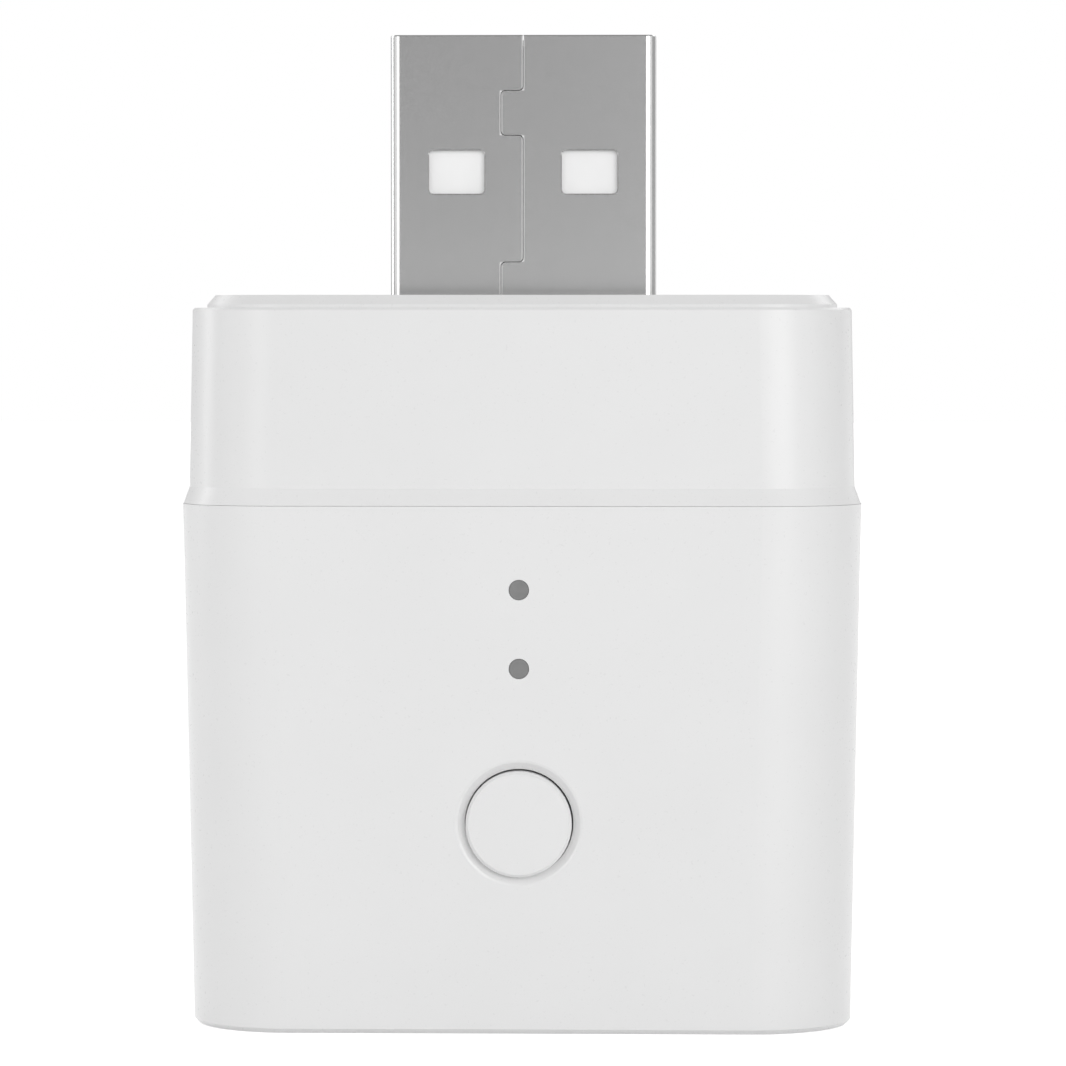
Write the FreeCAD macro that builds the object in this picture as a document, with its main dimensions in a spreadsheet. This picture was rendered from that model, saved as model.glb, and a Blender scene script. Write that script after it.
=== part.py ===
import FreeCAD, Part
import math
import os
import re
from FreeCAD import Placement, Rotation, Vector
from Sketcher import Constraint

# Smart USB adapter. Millimetres and degrees. The origin is the middle of the flat base,
# +Z runs up along the plug, and the button faces -Y.

# Driving dimensions
SIZES = {
    # outer form of the two shells, widest at the seam between them
    "seam_width": 30.42,
    "seam_depth": 17.7,
    "seam_height": 23.36,
    "corner_radius": 4.5,
    "housing_draft": 1.05,
    "wall": 1.5,
    "base_thickness": 1.5,
    "base_bevel": 0.2,
    # lap joint: an outer lip on the housing, a tongue inside it on the cap
    "lip_thickness": 0.75,
    "lap_depth": 1.6,
    "lap_clearance": 0.05,
    "tongue_step": 0.05,
    "seam_gap": 0.012,
    "bead_height": 0.2,
    "bead_length": 8.0,
    # upper cap
    "cap_height": 8.75,
    "cap_draft": 1.05,
    "rim_step": 0.03,
    "flare_height": 0.72,
    "flare_reach": 0.26,
    "ledge_width": 0.65,
    "ledge_bevel": 0.1,
    "raised_pad_height": 0.56,
    "raised_pad_slope_reach": 0.37,
    "raised_pad_slope_drop": 0.42,
    "top_thickness": 1.8,
    "collar_depth": 1.2,
    "collar_wall": 1.2,
    # button, its hole and the dished recess round it
    "button_height": 9.36,
    "button_radius": 2.345,
    "button_clearance": 0.05,
    "button_sag": 0.026,
    "button_sideways": 0.014,
    "button_proud": 0.28,
    "button_bevel": 0.12,
    "dish_radius": 2.75,
    "dish_depth": 0.28,
    "dish_bevel": 0.06,
    "boss_radius": 3.9,
    "collar_radius": 3.1,
    "button_collar": 0.6,
    "stem_radius": 1.2,
    # flat seats behind the front wall, as a distance inwards from the seam's front
    "seat_from_front": 2.05,
    "seat_clearance": 0.04,
    # light guide and its two pins
    "guide_height": 16.2,
    "guide_spacing": 3.48,
    "guide_radius": 0.43,
    "guide_clearance": 0.02,
    "guide_recess": 0.02,
    "guide_bar_width": 2.4,
    "guide_bar_thickness": 1.0,
    "guide_post_radius": 0.6,
    "guide_air_gap": 0.15,
    # circuit board and the rails that hold it
    "board_width": 23.0,
    "board_thickness": 1.0,
    "board_foot_gap": 0.1,
    "board_headroom": 0.45,
    "rail_grip": 0.9,
    "rail_wall": 1.0,
    "rail_height": 18.0,
    "rail_clearance": 0.05,
    # plug: a folded sheet sleeve round a moulded tongue
    "plug_width": 12.0,
    "plug_depth": 4.5,
    "plug_reach": 11.75,
    "plug_length": 18.75,
    "sheet": 0.3,
    "bend_radius": 0.45,
    "plug_clearance": 0.05,
    "window_width": 2.5,
    "window_height": 1.95,
    "window_round": 0.2,
    "window_bevel": 0.05,
    "window_spacing": 6.0,
    "window_from_tip": 5.2,
    "joint_gap": 0.04,
    "joint_round": 0.2,
    "joint_groove_reach": 0.06,
    "joint_groove_depth": 0.04,
    "tip_bevel": 0.06,
    "tab_reach": 1.0,
    "tab_height": 2.02,
    "first_tab_from_tip": 2.5,
    "second_tab_from_tip": 10.23,
    "plug_tongue": 1.85,
    "plug_block": 4.0,
    "tongue_recess": 0.5,
    "fit_gap": 0.02,
    # socket in the base
    "port_width": 13.1,
    "port_depth": 5.72,
    "port_length": 14.0,
    "port_recess": 0.3,
    "port_bend_radius": 0.6,
    "port_clearance": 0.1,
    "port_bevel": 0.35,
    "port_tongue": 1.84,
    "port_tongue_width": 11.1,
    "port_tongue_offset": 0.66,
    "port_block": 4.2,
    "spring_width": 2.0,
    "spring_length": 5.0,
    "spring_slit": 0.35,
    "spring_spacing": 6.0,
    "spring_from_mouth": 2.2,
    # solder legs of both sleeves and the contacts with their flat solder feet
    "leg_width": 1.4,
    "leg_pass": 0.5,
    "leg_clearance": 0.15,
    "plug_leg_from_end": 0.8,
    "port_leg_from_mouth": 9.0,
    "contact_width": 1.0,
    "contact_thickness": 0.2,
    "contact_proud": 0.05,
    "contact_bend": 0.3,
    "contact_from_tip": 1.1,
    "short_contact_step": 1.0,
    "inner_contact": 1.0,
    "outer_contact": 3.5,
    "tail_gap": 0.7,
    "foot_length": 1.4,
    # tactile switch
    "switch_size": 4.5,
    "switch_body_height": 1.3,
    "switch_floor": 0.4,
    "switch_plate": 0.15,
    "well_radius": 1.35,
    "plunger_radius": 0.9,
    "plunger_flange": 0.5,
    "plunger_flange_radius": 1.25,
    "plunger_clearance": 0.07,
    "switch_height": 1.9,
    # small parts on the board, each placed from the board's nearest side and from its top or foot
    "led_length": 1.6,
    "led_width": 0.8,
    "led_base": 0.3,
    "led_height": 0.6,
    "radio_size": 5.0,
    "radio_thickness": 0.85,
    "radio_from_side": 6.1,
    "radio_from_top": 11.2,
    "memory_width": 3.9,
    "memory_length": 4.9,
    "memory_thickness": 1.4,
    "memory_from_side": 5.1,
    "memory_from_top": 11.2,
    "lead_reach": 1.0,
    "lead_width": 0.42,
    "lead_pitch": 1.27,
    "lead_thickness": 0.2,
    "lead_rise": 0.7,
    "crystal_width": 3.2,
    "crystal_length": 2.5,
    "crystal_thickness": 0.7,
    "crystal_from_side": 5.3,
    "crystal_from_top": 16.2,
    "antenna_width": 2.0,
    "antenna_length": 7.0,
    "antenna_thickness": 1.2,
    "antenna_from_side": 2.1,
    "antenna_from_top": 6.0,
    "regulator_width": 1.6,
    "regulator_length": 2.9,
    "regulator_thickness": 1.1,
    "regulator_from_side": 5.1,
    "regulator_from_top": 17.4,
    "power_switch_from_top": 9.8,
    "can_radius": 2.0,
    "can_height": 5.4,
    "can_bevel": 0.25,
    "can_base": 4.3,
    "can_base_height": 0.9,
    "can_from_side": 4.1,
    "can_from_top": 9.8,
    "passive_length": 1.6,
    "passive_width": 0.8,
    "passive_thickness": 0.5,
    "passive_pitch": 2.2,
    "passive_from_side": 2.9,
    "passive_from_foot": 3.6,
}

os.makedirs("parts", exist_ok=True)
doc = FreeCAD.newDocument("smart_usb_adapter")
sheet = doc.addObject("Spreadsheet::Sheet", "sizes")
for row, (name, number) in enumerate(SIZES.items(), start=1):
    sheet.set("A%d" % row, name)
    sheet.set("B%d" % row, str(number))
    sheet.setAlias("B%d" % row, name)
doc.recompute()

SUB_PARTS = []
START, END, CENTRE = range(1, 4)
NEAR = 0.001


def bound(expression):
    """The expression with each size's name pointed at its cell."""
    return re.sub(r"[a-z_]+", lambda word: "sizes." + word[0] if word[0] in SIZES else word[0], expression)


def number(expression):
    """The present value of an expression, for the first position of a sketch's lines."""
    result = sheet.evalExpression(bound(expression))
    return float(getattr(result, "Value", result))


# Places that several pieces share, in terms of the sizes
PLUG_TIP = "(seam_height + cap_height + raised_pad_height + plug_reach)"
PLUG_END = "(seam_height + cap_height + raised_pad_height + plug_reach - plug_length)"
FOOT_HEIGHT = "(seam_height + seam_gap)"
LEDGE_HEIGHT = "(seam_height + cap_height)"
PAD_TOP = "(seam_height + cap_height + raised_pad_height)"
CEILING = "(seam_height + cap_height + raised_pad_height - top_thickness)"
SEAT = "(seam_depth / 2 - seat_from_front)"
BOARD_BACK = "(plug_depth / 2)"
BOARD_FRONT = "(plug_depth / 2 + board_thickness)"
BOARD_FOOT = "(base_thickness + board_foot_gap)"
BOARD_TOP = "(%s - collar_depth - board_headroom)" % CEILING
PORT_MIDDLE = "(port_depth / 2 - plug_depth / 2)"
PORT_END = "(port_recess + port_length)"
GUIDE_MIDDLE = "(guide_height + guide_spacing / 2)"
PLUNGER_TOP = "(plug_depth / 2 + board_thickness + switch_height)"
CONTACTS = ["-outer_contact", "-inner_contact", "inner_contact", "outer_contact"]


def front_face(height):
    """How far the drafted front face stands from the middle plane at a height."""
    return "(seam_depth / 2 - (seam_height - %s) * tan(housing_draft))" % height


# Sketch helpers


def new_body(label):
    body = doc.addObject("PartDesign::Body", label)
    body.Label = label
    SUB_PARTS.append(body)
    return body


def new_sketch(body, name, plane, lift="0", up=None, tilt=None):
    """A sketch on one of the body's origin planes, lifted along its normal."""
    sketch = body.newObject("Sketcher::SketchObject", body.Label + "_" + name)
    origin_plane = [item for item in body.Origin.OriginFeatures if item.Role == plane][0]
    sketch.AttachmentSupport = [(origin_plane, "")]
    sketch.MapMode = "FlatFace"
    sketch.setExpression("AttachmentOffset.Base.z", bound(lift))
    if up:
        sketch.setExpression("AttachmentOffset.Base.y", bound(up))
    if tilt:
        sketch.AttachmentOffset = Placement(Vector(0, 0, 0), Rotation(Vector(1, 0, 0), number(tilt)))
        sketch.setExpression("AttachmentOffset.Rotation.Angle", bound(tilt))
    return sketch


def fix(sketch, kind, geometry, point, expression):
    """Tie one coordinate of a point to an expression."""
    index = sketch.addConstraint(Constraint(kind, geometry, point, number(expression)))
    sketch.setExpression("Constraints[%d]" % index, bound(expression))


def fix_radius(sketch, geometry, expression):
    index = sketch.addConstraint(Constraint("Radius", geometry, number(expression)))
    sketch.setExpression("Constraints[%d]" % index, bound(expression))


def draw_circle(sketch, radius, across="0", up="0"):
    centre = Vector(number(across), number(up), 0)
    circle = sketch.addGeometry(Part.Circle(centre, Vector(0, 0, 1), number(radius)), False)
    fix(sketch, "DistanceX", circle, CENTRE, across)
    fix(sketch, "DistanceY", circle, CENTRE, up)
    fix_radius(sketch, circle, radius)


def draw_polygon(sketch, points):
    """A closed outline with straight sides, each corner tied to the sizes."""
    places = [Vector(number(across), number(up), 0) for across, up in points]
    count = len(places)
    first = sketch.GeometryCount
    for index in range(count):
        sketch.addGeometry(Part.LineSegment(places[index], places[(index + 1) % count]), False)
    for index in range(count):
        following = (index + 1) % count
        sketch.addConstraint(Constraint("Coincident", first + index, END, first + following, START))
    for index, (across, up) in enumerate(points):
        fix(sketch, "DistanceX", first + index, START, across)
        fix(sketch, "DistanceY", first + index, START, up)


def draw_rectangle(sketch, width, height, across="0", up="0"):
    left = "%s - (%s) / 2" % (across, width)
    right = "%s + (%s) / 2" % (across, width)
    bottom = "%s - (%s) / 2" % (up, height)
    top = "%s + (%s) / 2" % (up, height)
    draw_polygon(sketch, [(left, bottom), (right, bottom), (right, top), (left, top)])


def draw_rounded_rectangle(sketch, width, height, radius, across="0", up="0"):
    """Four lines and four equal arcs, tangent all the way round."""
    half_width = number("(%s) / 2" % width)
    half_height = number("(%s) / 2" % height)
    corner = number(radius)
    middle = Vector(number(across), number(up), 0)
    turns = [(1, -1), (1, 1), (-1, 1), (-1, -1)]
    centres = []
    for side, rise in turns:
        centres.append(middle + Vector(side * (half_width - corner), rise * (half_height - corner), 0))
    offsets = [Vector(0, -corner, 0), Vector(corner, 0, 0), Vector(0, corner, 0), Vector(-corner, 0, 0)]
    first = sketch.GeometryCount
    for index in range(4):
        line = Part.LineSegment(centres[index - 1] + offsets[index], centres[index] + offsets[index])
        start_angle = (index - 1) * math.pi / 2
        arc = Part.ArcOfCircle(Part.Circle(centres[index], Vector(0, 0, 1), corner),
                               start_angle, start_angle + math.pi / 2)
        sketch.addGeometry([line, arc], False)
    for index in range(8):
        following = first + (index + 1) % 8
        sketch.addConstraint(Constraint("Tangent", first + index, END, following, START))
    for index, direction in enumerate(["Horizontal", "Vertical", "Horizontal", "Vertical"]):
        sketch.addConstraint(Constraint(direction, first + 2 * index))
    for index in range(1, 4):
        sketch.addConstraint(Constraint("Equal", first + 1, first + 1 + 2 * index))
    fix(sketch, "DistanceY", first, START, "%s - (%s) / 2" % (up, height))
    fix(sketch, "DistanceX", first + 2, START, "%s + (%s) / 2" % (across, width))
    fix(sketch, "DistanceY", first + 4, START, "%s + (%s) / 2" % (up, height))
    fix(sketch, "DistanceX", first + 6, START, "%s - (%s) / 2" % (across, width))
    fix_radius(sketch, first + 1, radius)


def draw_stepped_path(sketch, corners, radius):
    """An open path of level and upright runs, with an arc of one radius at each turn."""
    places = [Vector(number(across), number(up), 0) for across, up in corners]
    bend = number(radius)
    runs = len(places) - 1
    starts = [places[0]]
    ends = []
    for index in range(1, runs):
        towards = (places[index] - places[index - 1]).normalize()
        away = (places[index + 1] - places[index]).normalize()
        ends.append(places[index] - towards * bend)
        starts.append(places[index] + away * bend)
    ends.append(places[-1])
    lines = []
    for index in range(runs):
        lines.append(sketch.addGeometry(Part.LineSegment(starts[index], ends[index]), False))
    for index in range(runs - 1):
        towards = (places[index + 1] - places[index]).normalize()
        away = (places[index + 2] - places[index + 1]).normalize()
        middle = places[index + 1] + (away - towards) * bend * (1 - math.sqrt(0.5))
        arc = sketch.addGeometry(Part.Arc(ends[index], middle, starts[index + 1]), False)
        left_turn = towards.cross(away).z > 0
        arc_start, arc_end = (START, END) if left_turn else (END, START)
        sketch.addConstraint(Constraint("Tangent", lines[index], END, arc, arc_start))
        sketch.addConstraint(Constraint("Tangent", arc, arc_end, lines[index + 1], START))
        fix_radius(sketch, arc, radius)
    for index, line in enumerate(lines):
        run = places[index + 1] - places[index]
        across, up = corners[index]
        if abs(run.x) > abs(run.y):
            sketch.addConstraint(Constraint("Horizontal", line))
            fix(sketch, "DistanceY", line, START, up)
        else:
            sketch.addConstraint(Constraint("Vertical", line))
            fix(sketch, "DistanceX", line, START, across)
    ends_along = [(lines[0], START, corners[0], 0), (lines[-1], END, corners[-1], runs - 1)]
    for line, point, (across, up), index in ends_along:
        run = places[index + 1] - places[index]
        if abs(run.x) > abs(run.y):
            fix(sketch, "DistanceX", line, point, across)
        else:
            fix(sketch, "DistanceY", line, point, up)


# Feature helpers


def pad(sketch, length, reversed=False, midplane=False, taper=None):
    body = sketch.getParentGeoFeatureGroup()
    feature = body.newObject("PartDesign::Pad", sketch.Name + "_pad")
    feature.Profile = sketch
    feature.setExpression("Length", bound(length))
    feature.Reversed = reversed
    if midplane:
        feature.SideType = "Symmetric"
    if taper:
        feature.setExpression("TaperAngle", bound(taper))
    doc.recompute()
    return feature


def pocket(sketch, length, reversed=False, midplane=False, taper=None):
    """Cut a sketch out, and make sure that it removed something."""
    body = sketch.getParentGeoFeatureGroup()
    before = body.Tip.Shape.Volume
    feature = body.newObject("PartDesign::Pocket", sketch.Name + "_pocket")
    feature.Profile = sketch
    feature.setExpression("Length", bound(length))
    feature.Reversed = reversed
    if midplane:
        feature.SideType = "Symmetric"
    if taper:
        feature.setExpression("TaperAngle", bound(taper))
    doc.recompute()
    if feature.Shape.Volume >= before:
        raise RuntimeError(feature.Name + " cuts nothing")
    return feature


def mirrored(body, originals, plane):
    feature = body.newObject("PartDesign::Mirrored", body.Label + "_mirrored")
    feature.Originals = originals
    origin_plane = [item for item in body.Origin.OriginFeatures if item.Role == plane][0]
    feature.MirrorPlane = (origin_plane, [""])
    body.Tip = feature
    doc.recompute()
    return feature


def row_along(body, originals, axis, length, count):
    feature = body.newObject("PartDesign::LinearPattern", body.Label + "_row")
    feature.Originals = originals
    origin_axis = [item for item in body.Origin.OriginFeatures if item.Role == axis][0]
    feature.Direction = (origin_axis, [""])
    feature.setExpression("Length", bound(length))
    feature.Occurrences = count
    body.Tip = feature
    doc.recompute()
    return feature


def picked(shapes, kind, chosen):
    """The names of the faces or edges that a test picks."""
    names = ["%s%d" % (kind, index) for index, shape in enumerate(shapes, start=1) if chosen(shape)]
    if not names:
        raise RuntimeError("a test picks no " + kind)
    return names


def rounded(body, radius, chosen):
    base = body.Tip
    feature = body.newObject("PartDesign::Fillet", body.Label + "_round")
    feature.Base = (base, picked(base.Shape.Edges, "Edge", chosen))
    feature.setExpression("Radius", bound(radius))
    doc.recompute()
    return feature


def bevelled(body, size, chosen):
    base = body.Tip
    feature = body.newObject("PartDesign::Chamfer", body.Label + "_bevel")
    feature.Base = (base, picked(base.Shape.Edges, "Edge", chosen))
    feature.setExpression("Size", bound(size))
    doc.recompute()
    return feature


def sloped(body, reach, drop, chosen):
    """Cut an edge off further down its upright face than it reaches across its level one."""
    base = body.Tip
    feature = body.newObject("PartDesign::Chamfer", body.Label + "_slope")
    feature.Base = (base, picked(base.Shape.Edges, "Edge", chosen))
    feature.ChamferType = "Two distances"
    feature.setExpression("Size", bound(drop))
    feature.setExpression("Size2", bound(reach))
    doc.recompute()
    return feature


def drafted(body, angle, hinge_height, chosen, reversed=False):
    """Lean upright faces about the level where they meet a flat face; outer ones widen downwards."""
    base = body.Tip
    feature = body.newObject("PartDesign::Draft", body.Label + "_draft")
    feature.Base = (base, picked(base.Shape.Faces, "Face", chosen))
    feature.NeutralPlane = (base, picked(base.Shape.Faces, "Face", lies_at(hinge_height))[:1])
    feature.setExpression("Angle", bound(angle))
    feature.Reversed = reversed
    doc.recompute()
    return feature


def lies_at(height, within=None):
    """Picks what lies level at one height, and no further across than a limit."""
    level = number(height)
    limit = number(within) if within else math.inf

    def chosen(shape):
        box = shape.BoundBox
        is_level = abs(box.ZMin - level) < NEAR and abs(box.ZMax - level) < NEAR
        return is_level and -limit < box.XMin and box.XMax < limit

    return chosen


def lies_in_front(depth, within=None):
    """Picks what lies flat at one distance in front of the middle plane, and no further across than a limit."""
    level = -number(depth)
    limit = number(within) if within else math.inf

    def chosen(shape):
        box = shape.BoundBox
        is_flat = abs(box.YMin - level) < NEAR and abs(box.YMax - level) < NEAR
        return is_flat and -limit < box.XMin and box.XMax < limit

    return chosen


def on_outline(height, width, depth):
    """Picks level edges at one height that reach the sides of a rectangle."""
    is_level = lies_at(height)
    half_width = number(width) / 2 - NEAR
    half_depth = number(depth) / 2 - NEAR

    def chosen(edge):
        box = edge.BoundBox
        reaches = max(-box.XMin, box.XMax) > half_width or max(-box.YMin, box.YMax) > half_depth
        return is_level(edge) and reaches

    return chosen


def is_upright(face):
    """Picks flat faces that stand straight up."""
    return isinstance(face.Surface, Part.Plane) and abs(face.Surface.Axis.z) < NEAR


def corner_edge(width, depth):
    """Picks the steep edges that end at the corners of a rectangle."""
    half_width = number(width) / 2
    half_depth = number(depth) / 2

    def chosen(edge):
        box = edge.BoundBox
        across = max(-box.XMin, box.XMax) - half_width
        along = max(-box.YMin, box.YMax) - half_depth
        return abs(across) < NEAR and abs(along) < NEAR and box.ZLength > max(box.XLength, box.YLength)

    return chosen


def is_circle(radius):
    """Picks round edges of one radius."""
    size = number(radius)
    return lambda edge: hasattr(edge.Curve, "Radius") and abs(edge.Curve.Radius - size) < NEAR


# The two shells


def lower_housing():
    """A drafted cup: lap joint at the rim, dished button hole, light pins' holes, socket window."""
    body = new_body("lower_housing")
    rim = new_sketch(body, "rim", "XY_Plane", "seam_height")
    draw_rectangle(rim, "seam_width", "seam_depth")
    pad(rim, "seam_height", reversed=True)
    drafted(body, "housing_draft", "seam_height", is_upright, reversed=True)
    cavity = new_sketch(body, "cavity", "XY_Plane", "seam_height")
    draw_rectangle(cavity, "seam_width - 2 * wall", "seam_depth - 2 * wall")
    pocket(cavity, "seam_height - base_thickness")
    drafted(body, "housing_draft", "seam_height", is_upright)
    rounded(body, "corner_radius - wall", corner_edge("seam_width - 2 * wall", "seam_depth - 2 * wall"))
    rounded(body, "corner_radius", corner_edge("seam_width", "seam_depth"))
    bevelled(body, "base_bevel", lies_at("0"))

    lap = new_sketch(body, "lap", "XY_Plane", "seam_height")
    draw_rounded_rectangle(lap, "seam_width - 2 * lip_thickness", "seam_depth - 2 * lip_thickness",
                           "corner_radius - lip_thickness")
    pocket(lap, "lap_depth")

    groove = new_sketch(body, "snap_groove", "YZ_Plane")
    lip_inside = "seam_depth / 2 - lip_thickness"
    bead_middle = "seam_height - lap_depth / 2"
    draw_polygon(groove, [(lip_inside, bead_middle + " - bead_height - lap_clearance"),
                          (lip_inside + " + bead_height", bead_middle),
                          (lip_inside, bead_middle + " + bead_height + lap_clearance"),
                          (lip_inside + " - lap_clearance", bead_middle)])
    groove_cut = pocket(groove, "bead_length + 2 * lap_clearance", midplane=True)
    mirrored(body, [groove_cut], "XZ_Plane")

    window = new_sketch(body, "socket_window", "XY_Plane")
    draw_rounded_rectangle(window, "port_width + 2 * port_clearance", "port_depth + 2 * port_clearance",
                           "port_bend_radius + port_clearance", "0", PORT_MIDDLE)
    pocket(window, "base_thickness * 2", reversed=True)
    bevelled(body, "port_bevel", lies_at("0", within="port_width / 2 + wall"))

    seats = new_sketch(body, "front_seats", "XZ_Plane", SEAT)
    draw_circle(seats, "boss_radius", "0", "button_height")
    pad(seats, "%s - wall / 2 - %s" % (front_face("button_height"), SEAT))
    guide_seat = new_sketch(body, "guide_seat", "XZ_Plane", SEAT)
    draw_rectangle(guide_seat, "guide_bar_width", "guide_spacing + guide_bar_width", "0", GUIDE_MIDDLE)
    pad(guide_seat, "%s - wall / 2 - %s" % (front_face(GUIDE_MIDDLE), SEAT))

    holes = new_sketch(body, "front_holes", "XZ_Plane", SEAT)
    draw_circle(holes, "button_radius + button_clearance", "0", "button_height")
    draw_circle(holes, "guide_radius + guide_clearance", "0", "guide_height")
    draw_circle(holes, "guide_radius + guide_clearance", "0", "guide_height + guide_spacing")
    pocket(holes, "seam_depth / 2", reversed=True)

    dish = new_sketch(body, "dish", "XZ_Plane", front_face("button_height"), "button_height", "housing_draft")
    draw_circle(dish, "dish_radius")
    dish_slope = "(dish_radius - button_radius - button_clearance) / dish_depth"
    pocket(dish, "dish_depth + 2 * button_clearance", taper="-atan(%s)" % dish_slope)
    bevelled(body, "dish_bevel", is_circle("dish_radius"))

    rail = new_sketch(body, "rail", "XY_Plane", "base_thickness / 2")
    inner = "board_width / 2 - rail_grip"
    end = "board_width / 2 + rail_clearance"
    outer = "seam_width / 2 - wall"
    front = "-(%s + rail_clearance" % BOARD_FRONT
    back = "-(%s - rail_clearance" % BOARD_BACK
    draw_polygon(rail, [(inner, front + " + rail_wall)"), (outer, front + " + rail_wall)"),
                        (outer, back + " - rail_wall)"), (inner, back + " - rail_wall)"),
                        (inner, back + ")"), (end, back + ")"),
                        (end, front + ")"), (inner, front + ")")])
    rail_pad = pad(rail, "rail_height")
    mirrored(body, [rail_pad], "YZ_Plane")
    return body


def upper_cap():
    """A drafted lid with a flared foot, a ledge, a raised pad and the slot for the plug."""
    body = new_body("upper_cap")
    side_step = "(rim_step + flare_reach)"
    side_rise = "(cap_height - seam_gap)"
    outer = ("(seam_width - 2 * %s)" % side_step, "(seam_depth - 2 * %s)" % side_step)
    inner = ("(seam_width - 2 * wall)", "(seam_depth - 2 * wall)")
    sides = new_sketch(body, "sides", "XY_Plane", FOOT_HEIGHT)
    draw_rectangle(sides, *outer)
    pad(sides, side_rise)
    drafted(body, "cap_draft", FOOT_HEIGHT, is_upright)
    cavity = new_sketch(body, "cavity", "XY_Plane", FOOT_HEIGHT)
    draw_rectangle(cavity, *inner)
    pocket(cavity, "%s - %s" % (CEILING, FOOT_HEIGHT), reversed=True)
    drafted(body, "cap_draft", FOOT_HEIGHT, is_upright, reversed=True)
    rounded(body, "corner_radius - wall", corner_edge(*inner))
    rounded(body, "corner_radius - " + side_step, corner_edge(*outer))
    bevelled(body, "ledge_bevel", lies_at(LEDGE_HEIGHT))

    # the flare is a ring that runs up until it is just inside the sides
    flare = new_sketch(body, "flare", "XY_Plane", FOOT_HEIGHT)
    for step in ("rim_step", "lip_thickness"):
        draw_rounded_rectangle(flare, "seam_width - 2 * " + step, "seam_depth - 2 * " + step,
                               "corner_radius - " + step)
    flare_slope = "(flare_reach / flare_height)"
    pad(flare, "flare_height + rim_step / " + flare_slope, taper="-atan(%s)" % flare_slope)

    raised = new_sketch(body, "raised_pad", "XY_Plane", LEDGE_HEIGHT)
    inset = "(%s + %s * tan(cap_draft) + ledge_width)" % (side_step, side_rise)
    draw_rounded_rectangle(raised, "seam_width - 2 * " + inset, "seam_depth - 2 * " + inset,
                           "corner_radius - " + side_step + " - ledge_width")
    pad(raised, "raised_pad_height")
    sloped(body, "raised_pad_slope_reach", "raised_pad_slope_drop", lies_at(PAD_TOP))

    tongue = new_sketch(body, "tongue", "XY_Plane", FOOT_HEIGHT)
    outer_step = "(lip_thickness + lap_clearance)"
    draw_rounded_rectangle(tongue, "seam_width - 2 * " + outer_step, "seam_depth - 2 * " + outer_step,
                           "corner_radius - " + outer_step)
    inner_step = "(wall - tongue_step)"
    draw_rounded_rectangle(tongue, "seam_width - 2 * " + inner_step, "seam_depth - 2 * " + inner_step,
                           "corner_radius - " + inner_step)
    pad(tongue, "lap_depth + seam_gap", reversed=True)

    bead = new_sketch(body, "snap_bead", "YZ_Plane")
    tongue_outside = "seam_depth / 2 - " + outer_step
    bead_middle = "seam_height - lap_depth / 2"
    draw_polygon(bead, [(tongue_outside, bead_middle + " - bead_height"),
                        (tongue_outside + " + bead_height", bead_middle),
                        (tongue_outside, bead_middle + " + bead_height"),
                        (tongue_outside + " - bead_height", bead_middle)])
    bead_pad = pad(bead, "bead_length", midplane=True)
    mirrored(body, [bead_pad], "XZ_Plane")

    collar = new_sketch(body, "plug_collar", "XY_Plane", CEILING + " - collar_depth")
    around = "(plug_clearance + collar_wall)"
    draw_rounded_rectangle(collar, "plug_width + 2 * " + around, "plug_depth + 2 * " + around,
                           "bend_radius + " + around)
    pad(collar, "collar_depth + top_thickness / 2")
    slot = new_sketch(body, "plug_slot", "XY_Plane", PAD_TOP)
    draw_rounded_rectangle(slot, "plug_width + 2 * plug_clearance", "plug_depth + 2 * plug_clearance",
                           "bend_radius + plug_clearance")
    pocket(slot, "top_thickness + collar_depth + wall")
    return body


# Button, light guide and switch


def button_cap():
    """A round button: a cap just proud of the face, a collar inside the wall and a stem.

    It rests a little low and to the left in its running gap, by its weight and its play.
    """
    body = new_body("button_cap")
    middle = ("-button_sideways", "button_height - button_sag")
    collar_front = "(%s - seat_clearance)" % SEAT
    collar = new_sketch(body, "collar", "XZ_Plane", collar_front)
    draw_circle(collar, "collar_radius", *middle)
    pad(collar, "button_collar", reversed=True)
    cap = new_sketch(body, "cap", "XZ_Plane", collar_front)
    draw_circle(cap, "button_radius", *middle)
    cap_front = front_face("button_height") + " + button_proud"
    pad(cap, "%s - %s" % (cap_front, collar_front))
    bevelled(body, "button_bevel", lies_in_front(cap_front))
    stem = new_sketch(body, "stem", "XZ_Plane", PLUNGER_TOP)
    draw_circle(stem, "stem_radius", *middle)
    pad(stem, "%s - button_collar - %s" % (collar_front, PLUNGER_TOP))
    return body


def light_guide():
    """One clear moulding: a bar behind the wall, two pins in the wall, two posts to the lamps."""
    body = new_body("light_guide")
    bar = new_sketch(body, "bar", "XZ_Plane", SEAT)
    draw_rectangle(bar, "guide_bar_width", "guide_spacing + guide_bar_width", "0", GUIDE_MIDDLE)
    pad(bar, "guide_bar_thickness", reversed=True)
    for place, height in (("lower", "guide_height"), ("upper", "(guide_height + guide_spacing)")):
        pin = new_sketch(body, place + "_pin", "XZ_Plane", SEAT)
        draw_circle(pin, "guide_radius", "0", height)
        pad(pin, "%s - guide_recess - %s" % (front_face(height), SEAT))
    lamp_front = BOARD_FRONT + " + led_height + guide_air_gap"
    posts = new_sketch(body, "posts", "XZ_Plane", lamp_front)
    draw_circle(posts, "guide_post_radius", "0", "guide_height")
    draw_circle(posts, "guide_post_radius", "0", "guide_height + guide_spacing")
    pad(posts, "%s - guide_bar_thickness - (%s)" % (SEAT, lamp_front))
    return body


def on_board(body, across, height, front=True):
    """Stand a body that is drawn lying flat on one face of the board."""
    body.Placement = Placement(Vector(0, 0, 0), Rotation(Vector(1, 0, 0), 90 if front else -90))
    body.setExpression("Placement.Base.x", bound(across))
    body.setExpression("Placement.Base.y", bound("-" + (BOARD_FRONT if front else BOARD_BACK)))
    body.setExpression("Placement.Base.z", bound(height))
    doc.recompute()
    return body


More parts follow.
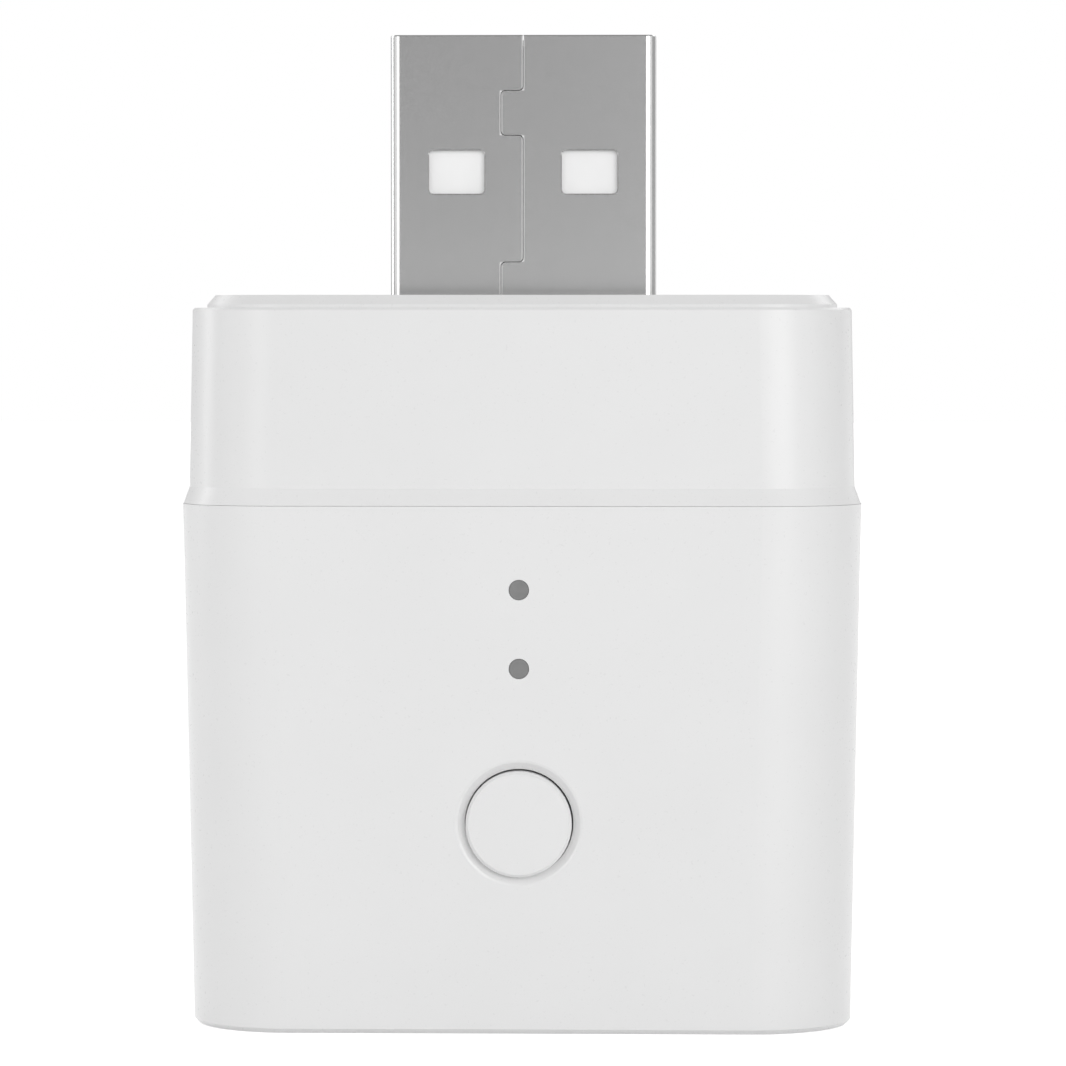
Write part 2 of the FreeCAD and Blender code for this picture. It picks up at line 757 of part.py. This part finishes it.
def switch():
    """The tactile switch: a moulded well, a plate that closes it and the plunger between."""
    base = new_body("switch_base")
    block = new_sketch(base, "block", "XY_Plane")
    draw_rectangle(block, "switch_size", "switch_size")
    pad(block, "switch_body_height")
    well = new_sketch(base, "well", "XY_Plane", "switch_body_height")
    draw_circle(well, "well_radius")
    pocket(well, "switch_body_height - switch_floor")

    cover = new_body("switch_cover")
    plate = new_sketch(cover, "plate", "XY_Plane", "switch_body_height")
    draw_rectangle(plate, "switch_size", "switch_size")
    draw_circle(plate, "plunger_radius + plunger_clearance")
    pad(plate, "switch_plate")

    plunger = new_body("switch_plunger")
    flange_foot = "switch_body_height - plunger_clearance - plunger_flange"
    profile = new_sketch(plunger, "profile", "XZ_Plane")
    draw_polygon(profile, [("0", flange_foot), ("plunger_flange_radius", flange_foot),
                           ("plunger_flange_radius", "switch_body_height - plunger_clearance"),
                           ("plunger_radius", "switch_body_height - plunger_clearance"),
                           ("plunger_radius", "switch_height"), ("0", "switch_height")])
    turned = plunger.newObject("PartDesign::Revolution", "plunger_turned")
    turned.Profile = profile
    turned.ReferenceAxis = (profile, ["V_Axis"])
    for body in (base, cover, plunger):
        on_board(body, "0", "button_height")


# Plug and socket


def sleeve(label, foot, length, width, depth, radius, middle):
    """A folded sheet sleeve that runs up from its foot."""
    body = new_body(label)
    section = new_sketch(body, "section", "XY_Plane", foot)
    draw_rounded_rectangle(section, width, depth, radius, "0", middle)
    draw_rounded_rectangle(section, width + " - 2 * sheet", depth + " - 2 * sheet", radius + " - sheet",
                           "0", middle)
    pad(section, length)
    return body


def add_legs(body, width, middle, height):
    """Two solder legs that run on from the sleeve's sides, through the board."""
    legs = new_sketch(body, "legs", "XZ_Plane", "-" + middle)
    for side in ("-", ""):
        draw_rectangle(legs, "sheet", "leg_width", "%s(%s - sheet) / 2" % (side, width), height)
    pad(legs, "%s + %s + leg_pass" % (middle, BOARD_FRONT))


def plug_shell():
    """The plug's sleeve, with its latch windows and the interlocked joint down its front."""
    body = sleeve("plug_shell", PLUG_END, "plug_length", "plug_width", "plug_depth", "bend_radius", "0")
    bevelled(body, "tip_bevel", on_outline(PLUG_TIP, "plug_width", "plug_depth"))
    add_legs(body, "plug_width", "0", PLUG_END + " + plug_leg_from_end + leg_width / 2")
    windows = new_sketch(body, "windows", "XZ_Plane")
    for side in ("-", ""):
        draw_rounded_rectangle(windows, "window_width", "window_height", "window_round",
                               side + "window_spacing / 2", PLUG_TIP + " - window_from_tip - window_height / 2")
    pocket(windows, "plug_depth * 2", midplane=True)
    windows_end = "window_spacing / 2 + window_width"
    for face in ("plug_depth / 2", "-plug_depth / 2"):
        bevelled(body, "window_bevel", lies_in_front(face, within=windows_end))

    path = new_sketch(body, "joint_path", "XZ_Plane", "plug_depth / 2")
    first_top = PLUG_TIP + " - first_tab_from_tip"
    second_top = PLUG_TIP + " - second_tab_from_tip"
    draw_stepped_path(path, [("0", PLUG_TIP), ("0", first_top), ("-tab_reach", first_top),
                             ("-tab_reach", first_top + " - tab_height"), ("0", first_top + " - tab_height"),
                             ("0", second_top), ("-tab_reach", second_top),
                             ("-tab_reach", second_top + " - tab_height"), ("0", second_top + " - tab_height"),
                             ("0", PLUG_END)], "joint_round")
    slit = new_sketch(body, "joint_slit", "XY_Plane", PLUG_TIP)
    draw_rectangle(slit, "joint_gap", "sheet * 3", "0", "-plug_depth / 2")
    before = body.Tip.Shape.Volume
    joint = body.newObject("PartDesign::SubtractivePipe", "plug_joint")
    joint.Profile = slit
    joint.Spine = path
    doc.recompute()
    if joint.Shape.Volume >= before:
        raise RuntimeError("the plug's joint cuts nothing")

    # the joint's upright edges are coined into a shallow groove
    groove_runs = [("0", PLUG_TIP, "first_tab_from_tip"),
                   ("-tab_reach", first_top, "tab_height"),
                   ("0", first_top + " - tab_height", "second_tab_from_tip - first_tab_from_tip - tab_height"),
                   ("-tab_reach", second_top, "tab_height"),
                   ("0", second_top + " - tab_height", "plug_length - second_tab_from_tip - tab_height")]
    for index, (across, top, run) in enumerate(groove_runs, start=1):
        groove = new_sketch(body, "joint_groove_%d" % index, "XY_Plane", top)
        draw_polygon(groove, [(across + " - joint_groove_reach", "-plug_depth / 2"),
                              (across + " + joint_groove_reach", "-plug_depth / 2"),
                              (across, "joint_groove_depth - plug_depth / 2")])
        pocket(groove, run)
    return body


def port_shell():
    """The socket's sleeve, with two leaf springs cut into each wide side."""
    body = sleeve("port_shell", "port_recess", "port_length", "port_width", "port_depth",
                  "port_bend_radius", PORT_MIDDLE)
    add_legs(body, "port_width", PORT_MIDDLE, "port_recess + port_leg_from_mouth")
    springs = new_sketch(body, "springs", "XZ_Plane", "-" + PORT_MIDDLE)
    foot = "port_recess + spring_from_mouth"
    for side in ("-", ""):
        middle = side + "spring_spacing / 2"
        left = middle + " - spring_width / 2"
        right = middle + " + spring_width / 2"
        draw_polygon(springs, [(left + " - spring_slit", foot), (right + " + spring_slit", foot),
                               (right + " + spring_slit", foot + " + spring_length"),
                               (right, foot + " + spring_length"), (right, foot + " + spring_slit"),
                               (left, foot + " + spring_slit"), (left, foot + " + spring_length"),
                               (left + " - spring_slit", foot + " + spring_length")])
    pocket(springs, "port_depth * 2", midplane=True)
    return body


def insulator(label, block_foot, block, tongue_foot, tongue, inner, tongue_size, tongue_middle, middle,
              corner, strip, rounded_tongue):
    """A moulded block that fills a sleeve's rear, with a tongue and channels for the contacts."""
    body = new_body(label)
    filled = new_sketch(body, "block", "XY_Plane", block_foot)
    draw_rounded_rectangle(filled, inner[0], inner[1], corner, "0", middle)
    pad(filled, block)
    blade = new_sketch(body, "tongue", "XY_Plane", tongue_foot)
    if rounded_tongue:
        draw_rounded_rectangle(blade, tongue_size[0], tongue_size[1], corner, "0", tongue_middle)
    else:
        draw_rectangle(blade, tongue_size[0], tongue_size[1], "0", tongue_middle)
    pad(blade, tongue)
    channels = new_sketch(body, "channels", "XY_Plane")
    for across in CONTACTS:
        draw_rectangle(channels, "contact_width + 2 * fit_gap", "contact_thickness + 2 * fit_gap", across, strip)
    pocket(channels, PLUG_TIP, reversed=True)
    return body


def contact(label, across, far_end, strip, tail, foot):
    """A strip that runs along its tongue, bends towards the board and ends in a flat solder foot."""
    body = new_body(label)
    path = new_sketch(body, "path", "YZ_Plane")
    on_the_board = "contact_thickness / 2 - " + BOARD_BACK
    draw_stepped_path(path, [(strip, far_end), (strip, tail), (on_the_board, tail), (on_the_board, foot)],
                      "contact_bend")
    section = new_sketch(body, "section", "XY_Plane", far_end)
    draw_rectangle(section, "contact_width", "contact_thickness", "0", strip)
    swept = body.newObject("PartDesign::AdditivePipe", label + "_swept")
    swept.Profile = section
    swept.Spine = path
    body.setExpression("Placement.Base.x", bound(across))
    doc.recompute()
    return body


PLUG_STRIP = "(plug_tongue - plug_depth / 2 + sheet + fit_gap + contact_proud - contact_thickness / 2)"
PLUG_TAIL = "(%s - tail_gap)" % PLUG_END
PORT_TONGUE_BACK = "(port_depth - plug_depth / 2 - sheet - port_tongue_offset)"
PORT_STRIP = "(%s - port_tongue - contact_proud + contact_thickness / 2)" % PORT_TONGUE_BACK
PORT_TAIL = "(%s + tail_gap)" % PORT_END


def plug_and_port():
    plug_shell()
    plug_inner = ("plug_width - 2 * sheet - 2 * fit_gap", "plug_depth - 2 * sheet - 2 * fit_gap")
    insulator("plug_insulator", PLUG_END, "plug_block", PLUG_END, "plug_length - tongue_recess",
              plug_inner, (plug_inner[0], "plug_tongue"),
              "plug_tongue / 2 - plug_depth / 2 + sheet + fit_gap", "0", "bend_radius - sheet", PLUG_STRIP,
              rounded_tongue=True)
    for index, across in enumerate(CONTACTS):
        far_end = PLUG_TIP + " - tongue_recess - contact_from_tip"
        if "inner" in across:
            far_end += " - short_contact_step"
        contact("plug_contact_%d" % (index + 1), across, far_end, PLUG_STRIP, PLUG_TAIL,
                PLUG_TAIL + " - foot_length")
    port_shell()
    port_inner = ("port_width - 2 * sheet - 2 * fit_gap", "port_depth - 2 * sheet - 2 * fit_gap")
    insulator("port_insulator", PORT_END + " - port_block", "port_block", "port_recess + tongue_recess",
              "port_length - tongue_recess", port_inner, ("port_tongue_width", "port_tongue"),
              PORT_TONGUE_BACK + " - port_tongue / 2", PORT_MIDDLE, "port_bend_radius - sheet", PORT_STRIP,
              rounded_tongue=False)
    for index, across in enumerate(CONTACTS):
        far_end = "port_recess + tongue_recess + contact_from_tip"
        contact("port_contact_%d" % (index + 1), across, far_end, PORT_STRIP, PORT_TAIL,
                PORT_TAIL + " + foot_length")


# Circuit board and what is soldered to it


def circuit_board():
    """The board, with slots for the legs of both sleeves."""
    body = new_body("circuit_board")
    outline = new_sketch(body, "outline", "XZ_Plane", BOARD_BACK)
    draw_rectangle(outline, "board_width", "%s - %s" % (BOARD_TOP, BOARD_FOOT),
                   "0", "(%s + %s) / 2" % (BOARD_TOP, BOARD_FOOT))
    pad(outline, "board_thickness")
    openings = new_sketch(body, "openings", "XZ_Plane", BOARD_BACK)
    for width, height in (("plug_width", PLUG_END + " + plug_leg_from_end + leg_width / 2"),
                          ("port_width", "port_recess + port_leg_from_mouth")):
        for side in ("-", ""):
            draw_rectangle(openings, "sheet + 2 * leg_clearance", "leg_width + 2 * leg_clearance",
                           "%s(%s - sheet) / 2" % (side, width), height)
    pocket(openings, "board_thickness", reversed=True)
    return body


def from_right(distance):
    """A place across the board, in from its right side."""
    return "(board_width / 2 - %s)" % distance


def from_left(distance):
    return "-" + from_right(distance)


def block_part(label, width, length, thickness, across, height, front=True):
    """A plain moulded part with drafted sides."""
    body = new_body(label)
    outline = new_sketch(body, "outline", "XY_Plane")
    draw_rectangle(outline, width, length)
    pad(outline, thickness, taper="-cap_draft * 4")
    return on_board(body, across, height, front)


def leaded_part(label, across, height, front=True):
    """An eight-lead package: a moulded body and two rows of bent leads."""
    body = new_body(label)
    outline = new_sketch(body, "outline", "XY_Plane", "lead_thickness / 2")
    draw_rectangle(outline, "memory_width", "memory_length")
    pad(outline, "memory_thickness - lead_thickness / 2", taper="-cap_draft * 4")
    leads = new_sketch(body, "leads", "XZ_Plane", "1.5 * lead_pitch")
    for side in ("-", ""):
        root = side + "(memory_width / 2 - lead_thickness * 2)"
        knee = side + "(memory_width / 2 + lead_reach / 2)"
        heel = side + "(memory_width / 2 + lead_reach / 2 - lead_thickness)"
        toe = side + "(memory_width / 2 + lead_reach)"
        draw_polygon(leads, [(root, "lead_rise"), (heel, "lead_rise"), (heel, "0"), (toe, "0"),
                             (toe, "lead_thickness"), (knee, "lead_thickness"),
                             (knee, "lead_rise + lead_thickness"), (root, "lead_rise + lead_thickness")])
    lead = pad(leads, "lead_width", midplane=True)
    row_along(body, [lead], "Y_Axis", "3 * lead_pitch", 4)
    return on_board(body, across, height, front)


def capacitor_can(label, across):
    """An upright capacitor: a drawn can on a square moulded foot."""
    body = new_body(label)
    foot = new_sketch(body, "foot", "XY_Plane")
    draw_rectangle(foot, "can_base", "can_base")
    pad(foot, "can_base_height")
    can = new_sketch(body, "can", "XY_Plane", "can_base_height")
    draw_circle(can, "can_radius")
    pad(can, "can_height - can_base_height")
    bevelled(body, "can_bevel", lies_at("can_height"))
    return on_board(body, across, BOARD_TOP + " - can_from_top", front=False)


def status_led(label, height):
    """A chip lamp: a flat foot with a smaller clear block on it."""
    body = new_body(label)
    foot = new_sketch(body, "foot", "XY_Plane")
    draw_rectangle(foot, "led_length", "led_width")
    pad(foot, "led_base")
    lens = new_sketch(body, "lens", "XY_Plane", "led_base")
    draw_rectangle(lens, "led_length - led_base * 2", "led_width")
    pad(lens, "led_height - led_base", taper="-cap_draft * 4")
    return on_board(body, "0", height)


lower_housing()
upper_cap()
button_cap()
light_guide()
switch()
plug_and_port()
circuit_board()
status_led("status_led_1", "guide_height")
status_led("status_led_2", "guide_height + guide_spacing")
block_part("radio_chip", "radio_size", "radio_size", "radio_thickness",
           from_right("radio_from_side"), BOARD_TOP + " - radio_from_top")
block_part("crystal", "crystal_width", "crystal_length", "crystal_thickness",
           from_right("crystal_from_side"), BOARD_TOP + " - crystal_from_top")
block_part("antenna", "antenna_width", "antenna_length", "antenna_thickness",
           from_right("antenna_from_side"), BOARD_TOP + " - antenna_from_top")
block_part("voltage_regulator", "regulator_width", "regulator_length", "regulator_thickness",
           from_left("regulator_from_side"), BOARD_TOP + " - regulator_from_top")
leaded_part("memory_chip", from_left("memory_from_side"), BOARD_TOP + " - memory_from_top")
leaded_part("power_switch", "0", BOARD_TOP + " - power_switch_from_top", front=False)
capacitor_can("input_capacitor", from_left("can_from_side"))
capacitor_can("output_capacitor", from_right("can_from_side"))
for count in range(3):
    height = "%s + passive_from_foot + %d * passive_pitch" % (BOARD_FOOT, count)
    for kind, across in (("resistor", from_left("passive_from_side")),
                         ("capacitor", from_right("passive_from_side"))):
        block_part("chip_%s_%d" % (kind, count + 1), "passive_length", "passive_width", "passive_thickness",
                   across, height)
doc.recompute()

# Nothing is written unless every object is sound
for item in doc.Objects:
    if "Invalid" in item.State or "Error" in item.State:
        raise RuntimeError("failed: " + item.Name)
for item in SUB_PARTS:
    if item.Shape.isNull() or not item.Shape.isValid() or item.Shape.Volume <= 0:
        raise RuntimeError("not a sound solid: " + item.Label)
for item in SUB_PARTS:
    item.Shape.exportStep("parts/%s.step" % item.Label)
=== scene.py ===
import math

import bpy
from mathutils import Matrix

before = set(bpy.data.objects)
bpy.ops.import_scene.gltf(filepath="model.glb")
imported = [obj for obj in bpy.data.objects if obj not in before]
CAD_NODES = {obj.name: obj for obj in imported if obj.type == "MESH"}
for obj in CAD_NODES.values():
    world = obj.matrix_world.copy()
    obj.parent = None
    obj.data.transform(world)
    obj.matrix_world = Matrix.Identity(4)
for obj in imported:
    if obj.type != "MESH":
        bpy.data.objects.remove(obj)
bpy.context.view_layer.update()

MM = 0.001

# Most of a noise texture's values lie between these two
NOISE_LOW = 0.3
NOISE_HIGH = 0.7

# The refractive index of plastic and lacquer
PLASTIC_INDEX = 1.5


# Shader node helpers
def new_material(name):
    material = bpy.data.materials.new(name)
    material.use_nodes = True
    material.node_tree.nodes.clear()
    return material


def add_node(tree, kind, **settings):
    node = tree.nodes.new("ShaderNode" + kind)
    for setting, value in settings.items():
        setattr(node, setting, value)
    return node


def add_noise(tree, grain_size, detail=2.0):
    """Noise whose spots are about grain_size metres across, fixed to the piece."""
    place = add_node(tree, "TexCoord")
    noise = add_node(tree, "TexNoise")
    noise.inputs["Scale"].default_value = 1.0 / grain_size
    noise.inputs["Detail"].default_value = detail
    tree.links.new(place.outputs["Object"], noise.inputs["Vector"])
    return noise.outputs["Fac"]


def spread(tree, fac, low, high):
    """The noise value fac spread from low to high."""
    spreader = add_node(tree, "MapRange")
    spreader.inputs["From Min"].default_value = NOISE_LOW
    spreader.inputs["From Max"].default_value = NOISE_HIGH
    spreader.inputs["To Min"].default_value = low
    spreader.inputs["To Max"].default_value = high
    tree.links.new(fac, spreader.inputs["Value"])
    return spreader.outputs["Result"]


def tinted(tree, fac, colour, darker):
    """The colour, down to darker times the colour where fac is low."""
    mix = add_node(tree, "Mix", data_type="RGBA")
    red, green, blue = colour
    mix.inputs["A"].default_value = (red * darker, green * darker, blue * darker, 1.0)
    mix.inputs["B"].default_value = (red, green, blue, 1.0)
    tree.links.new(spread(tree, fac, 0.0, 1.0), mix.inputs["Factor"])
    return mix.outputs["Result"]


def relief(tree, fac, depth):
    """The surface's normal with the noise value fac as relief, depth metres deep."""
    bump = add_node(tree, "Bump")
    bump.inputs["Distance"].default_value = depth
    bump.inputs["Strength"].default_value = 1.0
    tree.links.new(fac, bump.inputs["Height"])
    return bump.outputs["Normal"]


def surface_material(name, colour, roughness, metal=0.0, mottle=0.97, mottle_size=6 * MM,
                     grain_size=0.1 * MM, grain_depth=0.001 * MM, coat=0.0):
    """A finished surface: broad faint mottling, uneven gloss and a fine grain in relief."""
    material = new_material(name)
    tree = material.node_tree
    surface = add_node(tree, "BsdfPrincipled")
    output = add_node(tree, "OutputMaterial")
    surface.inputs["Metallic"].default_value = metal
    surface.inputs["IOR"].default_value = PLASTIC_INDEX
    surface.inputs["Coat Weight"].default_value = coat
    broad = add_noise(tree, mottle_size)
    grain = add_noise(tree, grain_size, detail=3.0)
    low, high = roughness
    tree.links.new(tinted(tree, broad, colour, mottle), surface.inputs["Base Color"])
    tree.links.new(spread(tree, grain, low, high), surface.inputs["Roughness"])
    tree.links.new(relief(tree, grain, grain_depth), surface.inputs["Normal"])
    tree.links.new(surface.outputs["BSDF"], output.inputs["Surface"])
    return material


# Finishes, one for each material slot of the record
FINISHES = {
    "white_plastic": surface_material(
        "moulded_white", (0.84, 0.84, 0.84), (0.27, 0.33), mottle=0.985,
        grain_size=0.12 * MM, grain_depth=0.0006 * MM),
    "light_guide_grey": surface_material(
        "smoky_grey", (0.228, 0.228, 0.228), (0.30, 0.38), mottle=0.90, mottle_size=0.4 * MM),
    "plated_steel": surface_material(
        "bright_nickel", (0.66, 0.66, 0.66), (0.17, 0.21), metal=1.0,
        mottle_size=0.3 * MM, grain_size=0.09 * MM, grain_depth=0.00018 * MM),
    "insulator_white": surface_material(
        "insulator_resin", (0.93, 0.93, 0.93), (0.38, 0.46), mottle_size=2 * MM),
    "contact_gold": surface_material(
        "gold_plate", (0.88, 0.62, 0.25), (0.16, 0.24), metal=1.0,
        mottle=0.92, mottle_size=0.6 * MM),
    "board_green": surface_material(
        "solder_mask", (0.012, 0.10, 0.035), (0.25, 0.35),
        mottle=0.8, mottle_size=1.5 * MM, coat=0.3),
    "chip_black": surface_material(
        "epoxy_black", (0.02, 0.02, 0.021), (0.5, 0.6), mottle=0.85, mottle_size=1 * MM),
    "ceramic_tan": surface_material(
        "ceramic", (0.42, 0.29, 0.18), (0.4, 0.5), mottle=0.85, mottle_size=0.5 * MM),
    "can_aluminium": surface_material(
        "can_metal", (0.78, 0.78, 0.79), (0.2, 0.3), metal=1.0,
        mottle=0.95, mottle_size=1 * MM),
    "plunger_black": surface_material(
        "nylon_black", (0.03, 0.03, 0.03), (0.4, 0.5), mottle=0.9, mottle_size=1 * MM),
    "lamp_clear": surface_material(
        "lamp_lens", (0.85, 0.86, 0.80), (0.12, 0.2), mottle=0.95, mottle_size=0.5 * MM),
}
for node in CAD_NODES.values():
    slot_names = [slot.material.name for slot in node.material_slots]
    for place, slot_name in enumerate(slot_names):
        node.material_slots[place].material = FINISHES[slot_name.split(".")[0]]


# Studio: a white floor, white surroundings, grey walls out of the camera's sight and soft lamps.
# Lengths are metres, and the greys are linear, where 1 is white.
FLOOR_HALF = 1.5
FLOOR_DROP = 0.02 * MM
FLOOR_GREY = 0.8
FLOOR_LIFT = 0.60
WORLD_FILL = 0.887
WHITE = 1.0
WALL_DISTANCE = 0.75
WALL_HALF_HEIGHT = 0.6
WALL_MIDDLE = 0.2
CEILING_HEIGHT = 0.80
CEILING_HALF = 0.70
CEILING_GREY = 0.38

# Each row: name, turn in degrees from the front to the right, half width, grey
WALLS = (
    ("dark_wall", 0.0, 0.30, 0.365),
    ("right_flag", 101.0, 0.39, 0.50),
    ("left_flag", -142.0, 0.20, 0.60),
    ("left_side_flag", -84.0, 0.12, 0.50),
    ("rear_wall", 180.0, 0.30, 0.50),
)

# Each row: name, turn and rise in degrees, width, height, brightness
LAMPS = (
    ("right_front_softbox", 24.5, 12.5, 0.34, 0.27, 3.55),
    ("left_front_softbox", -29.0, 12.5, 0.24, 0.27, 1.60),
    ("left_rear_softbox", -105.0, 12.5, 0.16, 0.27, 2.85),
    ("rear_softbox", 180.0, 42.0, 1.20, 0.27, 1.35),
)
LAMP_DISTANCE = 0.60
LAMP_AIM_HEIGHT = 22 * MM


def grey(value):
    return (value, value, value, 1.0)


def add_panel(name, half_width, half_height):
    mesh = bpy.data.meshes.new(name)
    corners = [
        (-half_width, -half_height, 0.0),
        (half_width, -half_height, 0.0),
        (half_width, half_height, 0.0),
        (-half_width, half_height, 0.0),
    ]
    mesh.from_pydata(corners, [], [(0, 1, 2, 3)])
    panel = bpy.data.objects.new(name, mesh)
    bpy.context.scene.collection.objects.link(panel)
    return panel


def shown_white(tree):
    """One for rays of the camera and of what the object mirrors or lets through, else zero."""
    path = add_node(tree, "LightPath")
    first = add_node(tree, "Math", operation="MAXIMUM")
    second = add_node(tree, "Math", operation="MAXIMUM")
    tree.links.new(path.outputs["Is Camera Ray"], first.inputs[0])
    tree.links.new(path.outputs["Is Glossy Ray"], first.inputs[1])
    tree.links.new(first.outputs["Value"], second.inputs[0])
    tree.links.new(path.outputs["Is Transmission Ray"], second.inputs[1])
    return second.outputs["Value"]


def floor_material():
    """Pale paper that keeps the object's shadow, and is lifted to white where it is seen."""
    material = new_material("studio_floor")
    tree = material.node_tree
    paper = add_node(tree, "BsdfDiffuse")
    paper.inputs["Color"].default_value = grey(FLOOR_GREY)
    lift = add_node(tree, "Emission")
    lift.inputs["Color"].default_value = grey(FLOOR_LIFT)
    both = add_node(tree, "AddShader")
    choice = add_node(tree, "MixShader")
    output = add_node(tree, "OutputMaterial")
    tree.links.new(paper.outputs["BSDF"], both.inputs[0])
    tree.links.new(lift.outputs["Emission"], both.inputs[1])
    tree.links.new(shown_white(tree), choice.inputs["Fac"])
    tree.links.new(paper.outputs["BSDF"], choice.inputs[1])
    tree.links.new(both.outputs["Shader"], choice.inputs[2])
    tree.links.new(choice.outputs["Shader"], output.inputs["Surface"])
    return material


def wall_material(name, shade):
    material = new_material(name)
    tree = material.node_tree
    paint = add_node(tree, "Emission")
    paint.inputs["Color"].default_value = grey(shade)
    output = add_node(tree, "OutputMaterial")
    tree.links.new(paint.outputs["Emission"], output.inputs["Surface"])
    return material


# The floor lies a hair below the flat base, so that the two faces don't coincide
floor = add_panel("floor", FLOOR_HALF, FLOOR_HALF)
floor.location.z = -FLOOR_DROP
floor.data.materials.append(floor_material())


def place_in_ring(item, angle, distance, height, tilt):
    """Set an item at an angle round the object, tilted up from flat to face it."""
    item.location = (distance * math.sin(angle), -distance * math.cos(angle), height)
    item.rotation_euler = (tilt, 0.0, angle)


def add_wall(name, turn, half_width, shade):
    """A grey wall that the object mirrors and the camera doesn't see."""
    wall = add_panel(name, half_width, WALL_HALF_HEIGHT)
    place_in_ring(wall, math.radians(turn), WALL_DISTANCE, WALL_MIDDLE, math.pi / 2)
    wall.data.materials.append(wall_material(name + "_paint", shade))
    wall.visible_camera = False


for wall_values in WALLS:
    add_wall(*wall_values)

ceiling = add_panel("ceiling", CEILING_HALF, CEILING_HALF)
ceiling.location.z = CEILING_HEIGHT
ceiling.data.materials.append(wall_material("ceiling_paint", CEILING_GREY))
ceiling.visible_camera = False

# The surroundings are white where they are seen or mirrored, and otherwise fill in the light
world = bpy.data.worlds.new("studio")
world.use_nodes = True
sky = world.node_tree
sky.nodes.clear()
fill = add_node(sky, "Background")
fill.inputs["Color"].default_value = grey(WORLD_FILL)
white = add_node(sky, "Background")
white.inputs["Color"].default_value = grey(WHITE)
sky_choice = add_node(sky, "MixShader")
sky_output = add_node(sky, "OutputWorld")
sky.links.new(shown_white(sky), sky_choice.inputs["Fac"])
sky.links.new(fill.outputs["Background"], sky_choice.inputs[1])
sky.links.new(white.outputs["Background"], sky_choice.inputs[2])
sky.links.new(sky_choice.outputs["Shader"], sky_output.inputs["Surface"])
bpy.context.scene.world = world


def add_lamp(name, turn, rise, width, height, brightness):
    """A soft lamp that faces the object's middle, rise degrees above it."""
    lamp = bpy.data.lights.new(name, "AREA")
    lamp.shape = "RECTANGLE"
    lamp.size = width
    lamp.size_y = height
    lamp.energy = brightness * width * height * math.pi
    holder = bpy.data.objects.new(name, lamp)
    bpy.context.scene.collection.objects.link(holder)
    climb = math.radians(rise)
    out = LAMP_DISTANCE * math.cos(climb)
    up = LAMP_AIM_HEIGHT + LAMP_DISTANCE * math.sin(climb)
    place_in_ring(holder, math.radians(turn), out, up, math.pi / 2 - climb)


for lamp_values in LAMPS:
    add_lamp(*lamp_values)


# Camera at the photograph's viewing angle: a little to the right of the middle and turned back,
# and a little above it and looking down. The lens and the sensor are in millimetres.
CAMERA_RIGHT = 6.5841 * MM
CAMERA_DISTANCE = 230.0 * MM
CAMERA_HEIGHT = 31.0219 * MM
CAMERA_TURN = 1.54344
CAMERA_DIP = 2.2840
CAMERA_LENS = 170.0716
SENSOR_WIDTH = 36.0
NEAREST_SEEN = 0.01
FARTHEST_SEEN = 10.0

camera_data = bpy.data.cameras.new("camera")
camera_data.sensor_width = SENSOR_WIDTH
camera_data.lens = CAMERA_LENS
camera_data.clip_start = NEAREST_SEEN
camera_data.clip_end = FARTHEST_SEEN
camera = bpy.data.objects.new("camera", camera_data)
bpy.context.scene.collection.objects.link(camera)
camera.location = (CAMERA_RIGHT, -CAMERA_DISTANCE, CAMERA_HEIGHT)
camera.rotation_euler = (math.radians(90.0 - CAMERA_DIP), 0.0, math.radians(CAMERA_TURN))
bpy.context.scene.camera = camera

bpy.context.scene.view_settings.view_transform = "Standard"
